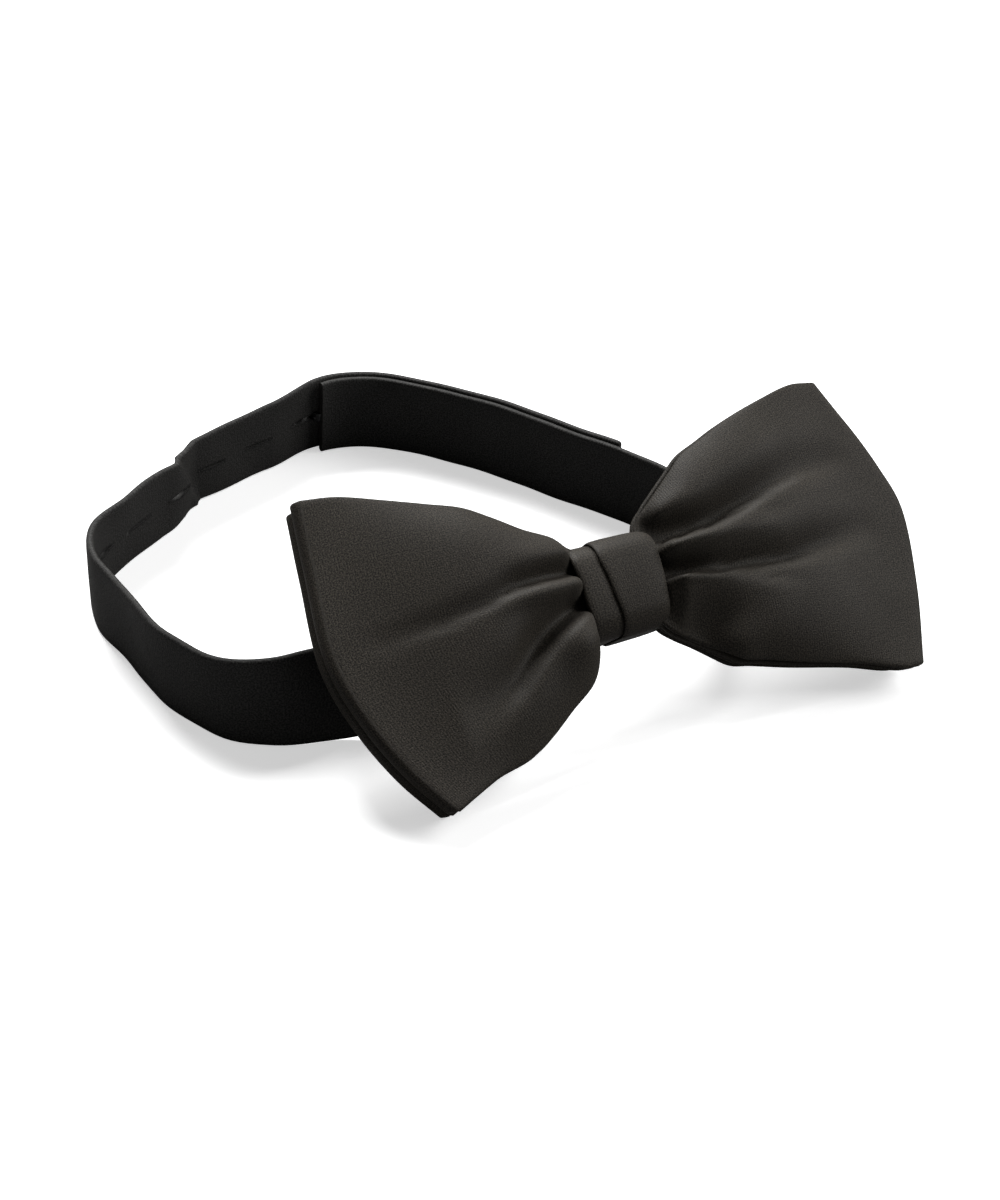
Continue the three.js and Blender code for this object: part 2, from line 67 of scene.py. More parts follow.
# The bow stands in its own upright frame: x along the bow, y up its face, z out of the face.
BOW_LEAN = math.radians(90 - tilt_joint["range_deg"][1])
BOW_UP = np.array([0, math.cos(BOW_LEAN), math.sin(BOW_LEAN)])
BOW_OUT = np.array([0, -math.sin(BOW_LEAN), math.cos(BOW_LEAN)])
BAND_BEHIND = 6.2
BOW_MIDDLE = np.array(tilt_joint["pos_m"]) / MM + BAND_BEHIND * BOW_OUT
LEAN = math.radians(tilt_joint["range_deg"][1])

# ---- Sizes of the pieces, in millimetres ----
FOLD_RADIUS = 1.9
FOLD_DEPTH_SHARE = 0.9
BOW_CLOTH = 1.15
WAIST_HALF_DEPTH = 1.35
THINNEST_HALF_DEPTH = 0.8
WING_SPLAY = 0.106
BAND_THICKNESS = 1.5
LOOP_LENGTH = 336.35
HOOK_STRIP_FROM = 201.1
HOOK_STRAP_FROM = 198.5
SLIT_STRIP_TO = 268.5
STRAP_SPLIT = 95
RIGHT_SPLIT = LOOP_LENGTH - 34
HOOKED_SLIT = 6
SLIT_COUNT = 11
SLIT_PITCH = 12.7
SLIT_HALF_LENGTH = 4
HOOKED_AT = 194.5
NECK_AT = 197.35
NECK_HALF_GAP = 1.08
WORN_CREASE_AT = 161
THREAD_RADIUS = 0.09
WHIP_THREAD_RADIUS = 0.19

# Stretches of the band, from and to along it, which blend_at takes but does not use.
LEFT_BEND = (24, 82)
SLIT_BEND = (109, 126)
HOOK_BEND = (LOOP_LENGTH - 60, LOOP_LENGTH - 40)
RIGHT_BEND = (LOOP_LENGTH - 33, LOOP_LENGTH - 10)

# Stretches in which the band untwists from the knot's lean, comes down to the table and leans
# back. Those of its right side count from the band's right end.
LEFT_UNTWIST, RIGHT_UNTWIST = (34, 82), (15, 44)
LEFT_DESCENT, RIGHT_DESCENT = (10, 58), (12, 42)
BACK_LEAN_STARTS, BACK_LEAN_ENDS = (122, 140), (186, 212)

# Edges of the wings from the middle of the knot outwards, in the bow's frame.
WINGS = {
    -1: {
        "top": [(0, 7.3), (-6, 7.4), (-8.6, 9.4), (-11, 11.9), (-16.2, 14.7), (-21.2, 18.1),
                (-26.2, 21.3), (-32.5, 23.6), (-40.5, 26.3), (-49.4, 29), (-56.3, 29.9)],
        "bottom": [(0, -7.3), (-6.5, -7.4), (-9, -9.5), (-10.4, -13), (-12.6, -16.2),
                   (-18.6, -19.9), (-23.9, -23.2), (-28.5, -25.4), (-35.6, -26.9),
                   (-42.5, -29.1), (-47.8, -31)],
        "tip": [(-47.8, -31), (-52.8, -22.9), (-57.1, -12.5), (-59.7, -0.4), (-57.9, 17.6),
                (-56.3, 29.9)],
    },
    1: {
        "top": [(0, 7.3), (5.5, 7.4), (6.9, 8.8), (7.7, 11), (9.2, 12.8), (12, 15), (16, 18),
                (20, 20.9), (25.3, 22.9), (30.5, 24.8), (40.6, 27.6), (50.5, 29.4),
                (55.2, 28.9)],
        "bottom": [(0, -7.3), (4.5, -7.5), (6.5, -10.2), (8.9, -12.4), (11.5, -14.3), (14.8, -17),
                   (18.2, -19.7), (22.2, -20.9), (30.1, -23.5), (42.4, -27), (50.5, -29.9),
                   (53.7, -30.3)],
        "tip": [(53.7, -30.3), (58.9, -16.1), (62.7, 0.5), (61.4, 9.1), (59.5, 16.3), (57.3, 22.7),
                (55.2, 28.9)],
    },
}

# Gathers that run out from the knot: centre line, then depth and the widths below and above it
# at its two ends.
GATHERS = {
    -1: [
        {"line": [(-6, 4.5), (-16.6, 4.6), (-23, 4.2), (-29.9, 2.4), (-39.3, 1.3), (-50, 0.5)],
         "depth": (3.4, 1.3, 0.35), "below": (1.2, 0.9, 0.6), "above": (2.4, 2.4, 1.8)},
        {"line": [(-6, -1.5), (-12.7, -2.5), (-17.2, -4.5), (-22.6, -7.9), (-27.3, -11.7),
                  (-33.8, -15), (-41, -18)],
         "depth": (4.2, 3.6, 0), "below": (1.0, 2.2, 4.5), "above": (1.6, 4.6, 6)},
    ],
    1: [
        {"line": [(6, 5.6), (20.7, 6.7), (27.7, 8.2), (35.1, 10.3), (42.4, 12.2), (53, 12.5)],
         "depth": (5.4, 3.4, 0.5), "below": (0.6, 1.0, 1.8), "above": (3.4, 5, 5)},
        {"line": [(6, -0.1), (17.4, -2.2), (25.6, -3.2), (33.9, -4.1), (40.8, -3.4), (52, -2.5)],
         "depth": (4.8, 3.0, 0.5), "below": (0.5, 0.9, 1.8), "above": (2.4, 3.8, 4)},
        {"line": [(20, -4.5), (23.1, -5.1), (27, -6.1), (31, -7.3), (36, -8.4)],
         "depth": (0, 0.9, 0), "below": (0.8, 1.0, 1.4), "above": (1, 1.4, 1.6)},
        {"line": [(25, 4.7), (28.7, 5.1), (33, 5.9), (37.2, 6.6), (42, 7.4)],
         "depth": (0, 0.6, 0), "below": (0.8, 0.9, 1.2), "above": (1, 1.3, 1.6)},
    ],
}

# The band seen from above, from the knot to the left, round the back and to the knot again.
ROUTE = [
    (0, 4.108), (-13.4, 4.108), (-34.6, 6.1), (-54.7, 8.6), (-65.8, 10), (-73.9, 14.4),
    (-80, 25.9), (-82.9, 41.3), (-84.9, 54.7), (-82.2, 64.8), (-72.6, 72.9), (-64.6, 77.8),
    (-60.2, 80.2), (-57.4, 83), (-54.9, 86.2), (-51, 88), (-38.8, 92), (-25.9, 95.2),
    (-17.8, 96.2), (-9.6, 93), (4.6, 79.7), (17.3, 61), (27.8, 44.2), (32.6, 31.7),
    (30.2, 18.2), (22.1, 8.3), (12.5, 4.108),
]
ROUTE_SHIFT = np.array([11.96836, -36.23249, 0])
KNOT_RISE = 17.685
BACK_TILT = math.radians(8)


def smooth(x, start, end):
    """A soft step from 0 at start to 1 at end."""
    t = np.clip((np.asarray(x, float) - start) / (end - start), 0, 1)
    return t * t * (3 - 2 * t)


def unit(v):
    return v / np.maximum(np.linalg.norm(v, axis=-1, keepdims=True), 1e-12)


class Path:
    """A smooth curve through points, read by its length."""

    def __init__(self, points, closed=False, pieces=60):
        p = np.array(points, float)
        ends = [p[-1:], p, p[:2]] if closed else [2 * p[:1] - p[1:2], p, 2 * p[-1:] - p[-2:-1]]
        q = np.vstack(ends)
        h = np.sqrt(np.linalg.norm(np.diff(q, axis=0), axis=1))
        t = np.linspace(0, 1, pieces, endpoint=False)[:, None]
        rows = []
        for i in range(len(q) - 3):
            a, b, c, d = q[i : i + 4]
            h0, h1, h2 = h[i : i + 3]
            m1 = h1 * ((b - a) / h0 - (c - a) / (h0 + h1) + (c - b) / h1)
            m2 = h1 * ((c - b) / h1 - (d - b) / (h1 + h2) + (d - c) / h2)
            rows.append(
                b + m1 * t + (3 * c - 3 * b - 2 * m1 - m2) * t**2 + (2 * b - 2 * c + m1 + m2) * t**3
            )
        self.points = np.vstack([*rows, q[-2]])
        gaps = np.linalg.norm(np.diff(self.points, axis=0), axis=1)
        self.at_length = np.concatenate([[0], np.cumsum(gaps)])
        self.length = self.at_length[-1]

    def at(self, s):
        return np.stack(
            [np.interp(s, self.at_length, self.points[:, k]) for k in range(self.points.shape[1])],
            axis=-1,
        )

    def share(self, u):
        return self.at(np.asarray(u) * self.length)

    def heading(self, s, reach=0.4):
        low = np.clip(s - reach, 0, self.length)
        high = np.clip(s + reach, 0, self.length)
        return unit(self.at(high) - self.at(low))


route = Path(ROUTE, closed=True)


# ---- Meshes ----
def finish_mesh(name, points, faces, uvs, material, smooth_angle=None):
    """An object with its place in its mesh, faces outwards and a cloth map in metres."""
    points = np.asarray(points, float)
    mesh = bpy.data.meshes.new(name)
    mesh.from_pydata((points * MM).tolist(), [], faces)
    if uvs is not None:
        layer = mesh.uv_layers.new(name="cloth")
        corner = np.zeros(len(mesh.loops), np.int32)
        mesh.loops.foreach_get("vertex_index", corner)
        layer.uv.foreach_set("vector", (np.asarray(uvs)[corner] * MM).astype(np.float32).ravel())
    mesh.polygons.foreach_set("use_smooth", [True] * len(mesh.polygons))
    ob = bpy.data.objects.new(name, mesh)
    bpy.context.collection.objects.link(ob)
    select_only(ob)
    bpy.ops.object.mode_set(mode="EDIT")
    bpy.ops.mesh.select_all(action="SELECT")
    bpy.ops.mesh.remove_doubles(threshold=0.002 * MM)
    bpy.ops.mesh.select_all(action="SELECT")
    bpy.ops.mesh.normals_make_consistent(inside=False)
    bpy.ops.object.mode_set(mode="OBJECT")
    if smooth_angle is not None:
        bpy.ops.object.shade_smooth_by_angle(angle=math.radians(smooth_angle))
    mesh.materials.append(material)
    return ob


def select_only(ob):
    bpy.ops.object.select_all(action="DESELECT")
    bpy.context.view_layer.objects.active = ob
    ob.select_set(True)


def ring_faces(rows, columns, closed, first=0):
    """Quads between rings of points, closed round each ring."""
    faces = []
    for i in range(rows if closed else rows - 1):
        a, b = first + i * columns, first + (i + 1) % rows * columns
        for k in range(columns):
            n = (k + 1) % columns
            faces.append((a + k, b + k, b + n, a + n))
    if not closed:
        faces.append(tuple(first + k for k in range(columns)))
        last = first + (rows - 1) * columns
        faces.append(tuple(last + k for k in reversed(range(columns))))
    return faces


def across_map(grid, closed):
    """Distances along and across a grid of points, for a weave of even scale."""
    step = np.linalg.norm(np.diff(grid, axis=0), axis=2).mean(1)
    along = np.concatenate([[0], np.cumsum(step)])[:, None] + np.zeros(grid.shape[:2])
    gap = np.linalg.norm(np.diff(grid, axis=1), axis=2)
    across = np.concatenate([np.zeros((len(grid), 1)), np.cumsum(gap, 1)], 1)
    across -= across[:, -1:] / 2
    return np.stack([along, across], -1)


def cloth_rings(outer, wall, facing, closed, edge_steps=5):
    """Rings of a cloth with rounded long edges, from the grid of its outer face."""
    along = np.roll(outer, -1, 0) - np.roll(outer, 1, 0)
    if not closed:
        along = np.gradient(outer, axis=0)
    across = np.gradient(outer, axis=1)
    normal = unit(np.cross(along, across)) * facing
    inner = outer - normal * wall
    flat = across_map(outer, closed)

    def edge(k, out):
        middle = (outer[:, k] + inner[:, k]) / 2
        aside = unit(across[:, k]) * out
        angles = np.linspace(0, math.pi, edge_steps + 2)[1:-1]
        return [
            middle + wall / 2 * (math.cos(a) * normal[:, k] + math.sin(a) * aside) for a in angles
        ]

    top, bottom = edge(-1, 1), edge(0, -1)[::-1]
    rings = np.concatenate(
        [outer, np.stack(top, 1), inner[:, ::-1], np.stack(bottom, 1)], axis=1
    )
    rim = np.linspace(0.2, wall, edge_steps)[None, :, None] * [0, 1]
    uv_top = np.repeat(flat[:, -1:], edge_steps, 1) + rim
    uv_bottom = np.repeat(flat[:, :1], edge_steps, 1) - rim[:, ::-1]
    uvs = np.concatenate([flat, uv_top, flat[:, ::-1] + [0.13, 0.21], uv_bottom], axis=1)
    return rings, uvs


# ---- Materials ----
def node(tree, kind, **settings):
    made = tree.nodes.new(kind)
    for name, value in settings.items():
        setattr(made, name, value)
    return made


def set_sockets(made, values):
    for name, value in values.items():
        made.inputs[name].default_value = value


def link(tree, source, target):
    tree.links.new(source, target)


def math_node(tree, operation, a, b=None, c=None):
    made = node(tree, "ShaderNodeMath", operation=operation)
    for socket, value in zip(made.inputs, (a, b, c)):
        if value is None:
            continue
        if isinstance(value, (int, float)):
            socket.default_value = value
        else:
            link(tree, value, socket)
    return made.outputs[0]


def new_group(name, inputs, outputs):
    group = bpy.data.node_groups.new(name, "ShaderNodeTree")
    for label, kind, default in inputs:
        socket = group.interface.new_socket(label, in_out="INPUT", socket_type=kind)
        if default is not None:
            socket.default_value = default
    for label, kind in outputs:
        group.interface.new_socket(label, in_out="OUTPUT", socket_type=kind)
    return group, node(group, "NodeGroupInput"), node(group, "NodeGroupOutput")


def weave_group():
    """Satin weave: ribs across the cloth, float speckle and soft patches of handling."""
    group, inp, out = new_group(
        "Satin weave",
        [
            ("Cloth map", "NodeSocketVector", None),
            ("Rib pitch", "NodeSocketFloat", 0.0005),
            ("Speckle scale", "NodeSocketFloat", 3600.0),
            ("Rib share", "NodeSocketFloat", 0.4),
        ],
        [(name, "NodeSocketFloat") for name in ("Height", "Speckle", "Patches")],
    )
    speck = node(group, "ShaderNodeTexNoise", noise_dimensions="2D")
    set_sockets(speck, {"Detail": 2.0, "Roughness": 0.65})
    link(group, inp.outputs["Cloth map"], speck.inputs["Vector"])
    link(group, inp.outputs["Speckle scale"], speck.inputs["Scale"])
    patch = node(group, "ShaderNodeTexNoise", noise_dimensions="2D")
    set_sockets(patch, {"Scale": 90.0, "Detail": 3.0})
    link(group, inp.outputs["Cloth map"], patch.inputs["Vector"])
    split = node(group, "ShaderNodeSeparateXYZ")
    link(group, inp.outputs["Cloth map"], split.inputs[0])
    wander = math_node(group, "MULTIPLY_ADD", patch.outputs[0], 0.0016, split.outputs["X"])
    phase = math_node(group, "DIVIDE", wander, inp.outputs["Rib pitch"])
    wave = math_node(group, "SINE", math_node(group, "MULTIPLY", phase, 2 * math.pi))
    cross = math_node(group, "DIVIDE", split.outputs["Y"], inp.outputs["Rib pitch"])
    floats = math_node(group, "SINE", math_node(group, "MULTIPLY", cross, 2.3 * math.pi))
    level = math_node(group, "MULTIPLY_ADD", floats, 0.15, 0.5)
    ribs = math_node(group, "MULTIPLY_ADD", wave, 0.35, level)
    mixed = math_node(group, "MULTIPLY", ribs, inp.outputs["Rib share"])
    height = math_node(group, "ADD", mixed, speck.outputs[0])
    link(group, height, out.inputs["Height"])
    link(group, speck.outputs[0], out.inputs["Speckle"])
    link(group, patch.outputs[0], out.inputs["Patches"])
    return group


def new_material(name):
    material = bpy.data.materials.new(name)
    material.use_nodes = True
    tree = material.node_tree
    return material, tree, tree.nodes["Principled BSDF"]


def mix_colours(tree, share, first, second):
    """A colour between two, by a share that varies over the surface."""
    mix = node(tree, "ShaderNodeMix", data_type="RGBA")
    set_sockets(mix, {"A": (*first, 1), "B": (*second, 1)})
    link(tree, share, mix.inputs["Factor"])
    return mix.outputs["Result"]


def spread_out(tree, value, low, high):
    """A value between low and high, stretched to run from 0 to 1."""
    stretch = node(tree, "ShaderNodeMapRange")
    set_sockets(stretch, {"From Min": low, "From Max": high})
    link(tree, value, stretch.inputs["Value"])
    return stretch.outputs[0]


def raise_surface(tree, shader, height, strength, distance):
    lift = node(tree, "ShaderNodeBump")
    set_sockets(lift, {"Strength": strength, "Distance": distance})
    link(tree, height, lift.inputs["Height"])
    link(tree, lift.outputs[0], shader.inputs["Normal"])


def cloth_material(name, colour, light_colour, roughness, sheen, rib, speckle, bump, group):
    """Satin: its speckle lights the ground colour, and handling dulls it in patches."""
    material, tree, shader = new_material(name)
    uv = node(tree, "ShaderNodeUVMap", uv_map="cloth")
    weave = node(tree, "ShaderNodeGroup", node_tree=group)
    set_sockets(weave, {"Rib pitch": rib, "Speckle scale": speckle})
    link(tree, uv.outputs[0], weave.inputs["Cloth map"])
    lit = spread_out(tree, weave.outputs["Speckle"], 0.38, 0.68)
    tone = node(tree, "ShaderNodeMix", data_type="RGBA", blend_type="MULTIPLY")
    tone.inputs["B"].default_value = (0.72, 0.72, 0.74, 1)
    link(tree, mix_colours(tree, lit, colour, light_colour), tone.inputs["A"])
    link(tree, weave.outputs["Patches"], tone.inputs["Factor"])
    link(tree, tone.outputs["Result"], shader.inputs["Base Color"])
    rough = math_node(tree, "MULTIPLY_ADD", weave.outputs["Patches"], 0.12, roughness - 0.06)
    link(tree, rough, shader.inputs["Roughness"])
    raise_surface(tree, shader, weave.outputs["Height"], bump, 0.00012)
    set_sockets(shader, {"Sheen Weight": sheen, "Sheen Roughness": 0.45,
                         "Sheen Tint": (1, 0.93, 0.86, 1), "Specular IOR Level": 0.16})
    return material


def thread_material():
    """Black sewing thread with its twist."""
    material, tree, shader = new_material("twisted_thread")
    place = node(tree, "ShaderNodeTexCoord")
    twist = node(tree, "ShaderNodeTexWave", bands_direction="DIAGONAL")
    set_sockets(twist, {"Scale": 900, "Distortion": 1.5})
    link(tree, place.outputs["Object"], twist.inputs["Vector"])
    colour = mix_colours(tree, twist.outputs["Fac"], (0.008, 0.008, 0.008), (0.03, 0.029, 0.028))
    link(tree, colour, shader.inputs["Base Color"])
    raise_surface(tree, shader, twist.outputs["Fac"], 0.4, 0.00008)
    set_sockets(shader, {"Roughness": 0.6, "Specular IOR Level": 0.25})
    return material


def hook_material():
    """Black lacquer over steel, with a few small chips."""
    material, tree, shader = new_material("lacquered_steel")
    place = node(tree, "ShaderNodeTexCoord")
    chips = node(tree, "ShaderNodeTexNoise")
    set_sockets(chips, {"Scale": 700, "Detail": 4})
    link(tree, place.outputs["Object"], chips.inputs["Vector"])
    bare = spread_out(tree, chips.outputs["Fac"], 0.62, 0.72)
    colour = mix_colours(tree, bare, (0.012, 0.012, 0.013), (0.12, 0.12, 0.12))
    link(tree, colour, shader.inputs["Base Color"])
    rough = math_node(tree, "MULTIPLY_ADD", chips.outputs["Fac"], 0.25, 0.18)
    link(tree, rough, shader.inputs["Roughness"])
    set_sockets(shader, {"Coat Weight": 0.4, "Coat Roughness": 0.2, "Metallic": 0.6})
    return material


def floor_material(colour):
    """A pale matt floor that throws little light back at the cloth."""
    material, tree, shader = new_material("pale_floor")
    seen = node(tree, "ShaderNodeLightPath").outputs["Is Camera Ray"]
    dim = tuple(c * 0.25 for c in colour)
    link(tree, mix_colours(tree, seen, dim, colour), shader.inputs["Base Color"])
    set_sockets(shader, {"Roughness": 0.9, "Specular IOR Level": 0.1,
                         "Emission Color": (1, 1, 1, 1)})
    link(tree, math_node(tree, "MULTIPLY", seen, 0.55), shader.inputs["Emission Strength"])
    return material


def materials():
    """The finishes by name, made once."""
    if "charcoal_satin" not in bpy.data.materials:
        look = bpy.context.scene.bow_tie_finish
        group = weave_group()
        cloth_material("charcoal_satin", look.bow_colour, look.bow_float_colour, look.bow_roughness,
                       look.bow_sheen, 0.00052, 3600, 0.55, group)
        cloth_material("black_satin", look.band_colour, look.band_float_colour, look.band_roughness,
                       look.band_sheen, 0.0006, 3000, 0.5, group)
        thread_material()
        hook_material()
    return bpy.data.materials


# ---- Sizes and finishes that can be changed ----
class BowTieSizes(bpy.types.PropertyGroup):
    """Shape of the tied bow and of its band"""

    bow_belly: FloatProperty(
        name="Bow belly", description="How far the front of the bow puffs out",
        default=0.0040, min=0, max=0.006, unit="LENGTH")
    gather_depth: FloatProperty(
        name="Gather depth", description="Depth of the gathers as a share of their usual depth",
        default=1.25, min=0, max=1.5, subtype="FACTOR")
    band_width: FloatProperty(
        name="Band width", description="Width of the neck band",
        default=0.018, min=0.015, max=0.02, unit="LENGTH")
    slit_opening: FloatProperty(
        name="Slit opening", description="How far the lips of a buttonhole stand apart",
        default=0.0008, min=0.0002, max=0.0015, unit="LENGTH")
    stitches: IntProperty(
        name="Stitches", description="Buttonhole stitches along each lip",
        default=22, min=8, max=24)


class BowTieFinish(bpy.types.PropertyGroup):
    """Colours and gloss of the cloth"""

    bow_colour: FloatVectorProperty(
        name="Bow satin", description="Ground colour of the bow's satin",
        subtype="COLOR", default=(0.0088, 0.0076, 0.0058), min=0, max=1)
    bow_float_colour: FloatVectorProperty(
        name="Bow floats", description="Colour of the satin's lit floats",
        subtype="COLOR", default=(0.056, 0.0482, 0.0375), min=0, max=1)
    bow_roughness: FloatProperty(
        name="Bow roughness", description="Roughness of the bow's satin",
        default=0.58, min=0, max=1, subtype="FACTOR")
    bow_sheen: FloatProperty(
        name="Bow sheen", description="Sheen of the bow's satin",
        default=0.04, min=0, max=1, subtype="FACTOR")
    band_colour: FloatVectorProperty(
        name="Band satin", description="Ground colour of the band",
        subtype="COLOR", default=(0.0150, 0.0147, 0.0138), min=0, max=1)
    band_float_colour: FloatVectorProperty(
        name="Band floats", description="Colour of the band's lit floats",
        subtype="COLOR", default=(0.056, 0.0548, 0.0518), min=0, max=1)
    band_roughness: FloatProperty(
        name="Band roughness", description="Roughness of the band",
        default=0.62, min=0, max=1, subtype="FACTOR")
    band_sheen: FloatProperty(
        name="Band sheen", description="Sheen of the band",
        default=0.02, min=0, max=1, subtype="FACTOR")


class BowTieStage(bpy.types.PropertyGroup):
    """Floor and lights"""

    floor_colour: FloatVectorProperty(
        name="Floor", description="Colour of the floor",
        subtype="COLOR", default=(0.9, 0.9, 0.9), min=0, max=1)
    key_power: FloatProperty(
        name="Key light", description="Power of the main light",
        default=43.0, min=0, max=200, unit="POWER")
    ambient: FloatProperty(
        name="Ambient light", description="Strength of the even light from all round",
        default=0.09, min=0, max=1, subtype="FACTOR")
    fill_power: FloatProperty(
        name="Fill light", description="Power of the light from the right",
        default=17.0, min=0, max=200, unit="POWER")


# ---- The bow's loops ----
def bow_place(points):
    """Points of the bow's own frame in the tie's frame."""
    p = np.asarray(points, float)
    return BOW_MIDDLE + p[..., :1] * [1, 0, 0] + p[..., 1:2] * BOW_UP + p[..., 2:3] * BOW_OUT


# Where a loop's middle stands at the waist and at the tips, how far it hangs, and if it puffs out.
LOOPS = {
    "front_bow": {"waist": 0.0, "tip": 1.15, "drop": 0.0, "puffed": True},
    "rear_bow": {"waist": -3.0, "tip": -3.15, "drop": 0.5, "puffed": False},
}


def outline_point(side, u, v):
    """A point of a wing's outline plan, u from the knot to the tip and v from bottom to top."""
    wing = WINGS[side]
    top, bottom, tip = (Path(wing[k], pieces=24) for k in ("top", "bottom", "tip"))
    t, b = top.share(u)[:, None], bottom.share(u)[:, None]
    v = v[None, :, None]
    straight = (1 - v) * wing_end(wing, "bottom") + v * wing_end(wing, "top")
    bulge = tip.share(v[0, :, 0])[None] - straight
    return (1 - v) * b + v * t + bulge * (u[:, None, None] ** 2)


def wing_end(wing, edge):
    return np.array(wing[edge][-1], float)


def gather_depth(side, x, y):
    """How far the gathers press the front of a wing in at a place."""
    total = np.zeros_like(x)
    for gather in GATHERS[side]:
        line = np.array(gather["line"], float)
        order = np.argsort(line[:, 0])
        run = np.clip((np.abs(x) - abs(line[0, 0])) / (abs(line[-1, 0]) - abs(line[0, 0])), 0, 1)
        middle = np.interp(x, line[order, 0], line[order, 1])
        stations = [0, 0.45, 1]
        depth, below, above = (
            np.interp(run, stations, gather[k]) for k in ("depth", "below", "above")
        )
        width = np.where(y < middle, below, above)
        past = np.abs(x) - abs(line[-1, 0])
        fade = 1 - smooth(past, 0, 6)
        total += depth * fade * np.exp(-(((y - middle) / width) ** 2))
    return total


def loop_outer(loop, sizes):
    """The outer face of a loop: front panel left to right, right fold, back panel, left fold."""
    rows = 44
    wing_steps = 58
    fold_steps = 11
    v = 0.5 - 0.5 * np.cos(np.linspace(0, math.pi, rows)) * 0.985
    v = 0.5 + (v - 0.5) / (v[-1] - 0.5) * 0.5
    v = 0.35 * v + 0.65 * np.linspace(0, 1, rows)
    u = np.linspace(0, 1, wing_steps) ** 0.92

    def panel(side, face):
        plan = outline_point(side, u, v)
        x, y = plan[..., 0], plan[..., 1]
        share = np.repeat(u[:, None], rows, 1)
        opened = smooth(share, 0.1, 0.4)
        mid = loop["waist"] + (loop["tip"] - loop["waist"]) * opened
        splay = -WING_SPLAY * y * share
        q = 2 * v[None] - 1
        half = WAIST_HALF_DEPTH + (FOLD_RADIUS - WAIST_HALF_DEPTH) * opened
        if face > 0 and loop["puffed"]:
            off_knot = np.abs(x)
            crown = (1 - np.abs(q) ** 4) * smooth(off_knot, 6.8, 10.5)
            crown = crown * (1 - smooth(share, 0.5, 1.02))
            half = half + sizes.bow_belly / MM * crown
            pressed = gather_depth(side, x, y) * sizes.gather_depth * smooth(off_knot, 6, 8.5)
            half = half - pressed * (1 - smooth(share, 0.86, 1))
            half = half + lobes(side, x, y) * smooth(off_knot, 7.5, 11)
            thin = THINNEST_HALF_DEPTH
            half = thin + np.logaddexp(0, (half - thin) * 3) / 3
        else:
            half = half + 0.35 * opened * (1 - share) * np.sin(3.1 * q + 1.2 * side)
        px = x - side * FOLD_RADIUS * share**3
        py = y * loop_height(loop, side, q) - loop["drop"] * opened
        return np.stack([px, py, mid + splay + face * half], -1)

    def fold(side):
        plan = outline_point(side, np.array([1.0]), v)[0]
        turns = np.linspace(math.pi / 2, -math.pi / 2, fold_steps + 2)[1:-1]
        rings = []
        for turn in turns:
            x = plan[:, 0] - side * FOLD_RADIUS * (1 - math.cos(turn) * FOLD_DEPTH_SHARE)
            y = plan[:, 1] * loop_height(loop, side, 2 * v - 1) - loop["drop"]
            z = loop["tip"] - WING_SPLAY * plan[:, 1] + FOLD_RADIUS * math.sin(turn)
            rings.append(np.stack([x, y, z], -1))
        return np.stack(rings)

    front = np.concatenate([panel(-1, 1)[::-1], panel(1, 1)[1:]])
    back = np.concatenate([panel(1, -1)[::-1], panel(-1, -1)[1:]])
    return np.concatenate([front, fold(1), back, fold(-1)[::-1]])


def loop_height(loop, side, q):
    """The rear loop is cut a little lower, so that the front one hides it on the right."""
    if loop["puffed"]:
        return 1.0
    return 1 - (0.045 if side > 0 else 0.012) * np.abs(q)


def lobes(side, x, y):
    """Soft swellings beside the knot, and the right wing's lower part that turns down."""
    def swell(at, size, height):
        return height * np.exp(-(((x - at[0]) / size[0]) ** 2) - ((y - at[1]) / size[1]) ** 2)

    if side < 0:
        return (swell((-12, -9.5), (5, 5), 2.2) + swell((-14, 9), (7, 3), 0.8)
                + swell((-15, 1.6), (9, 1.6), 1.6))
    return (swell((13, -11), (8, 5), -3.0) + swell((15, 4.0), (10, 1.3), 1.5)
            + swell((14, -2.0), (9, 1.0), 1.3) + swell((14, 11), (7, 3), 0.8))


def make_loop(name, replaced):
    sizes = bpy.context.scene.bow_tie_sizes
    outer = loop_outer(LOOPS[name], sizes)
    rings, uvs = cloth_rings(outer, BOW_CLOTH, 1, True)
    count = rings.shape[1]
    faces = ring_faces(len(rings), count, True)
    ob = finish_mesh(name, bow_place(rings).reshape(-1, 3), faces, uvs.reshape(-1, 2),
                     materials()["charcoal_satin"])
    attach(ob, "bow")
    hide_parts(*replaced)
    return ob


class BOWTIE_OT_loops(bpy.types.Operator):
    """Makes the front and the rear loop of the bow, gathered at the knot"""

    bl_idname = "bowtie.loops"
    bl_label = "Bow loops"

    def execute(self, context):
        make_loop("front_bow", ("front_bow_satin", "front_bow_interlining"))
        make_loop("rear_bow", ("rear_bow_satin", "rear_bow_interlining"))
        frame["nodes"]["gather_thread"].data.materials.clear()
        frame["nodes"]["gather_thread"].data.materials.append(materials()["twisted_thread"])
        return {"FINISHED"}


# ---- The knot ----
# Across the knot and out of it, from its left edge over the tuck to its right edge and back.
KNOT_SECTION = [
    (-8.0, -0.3), (-8.3, 0.1), (-8.36, 0.5), (-8.16, 0.8), (-7.75, 0.93), (-7.0, 0.97),
    (-6.2, 0.95), (-5.2, 0.92), (-4.4, 0.89), (-3.8, 0.8), (-3.3, 0.62), (-2.9, 0.6),
    (-2.9, 0.7), (-3.3, 0.84), (-3.6, 1.0), (-3.68, 1.18), (-3.56, 1.36), (-3.25, 1.46),
    (-2.7, 1.5), (-1.6, 1.5), (0, 1.47), (1.8, 1.42), (3.6, 1.34), (5.2, 1.22), (6.4, 1.06),
    (7.2, 0.84), (7.7, 0.54), (7.86, 0.15), (7.7, -0.3), (7.2, -0.1), (4, 0), (0, 0), (-4, 0),
    (-7.2, -0.1),
]
TUCK_DEPTH = 0.9
KNOT_HALF_WIDTH = 8
KNOT_HALF_HEIGHT = 8.3
KNOT_FRONT = 2.35
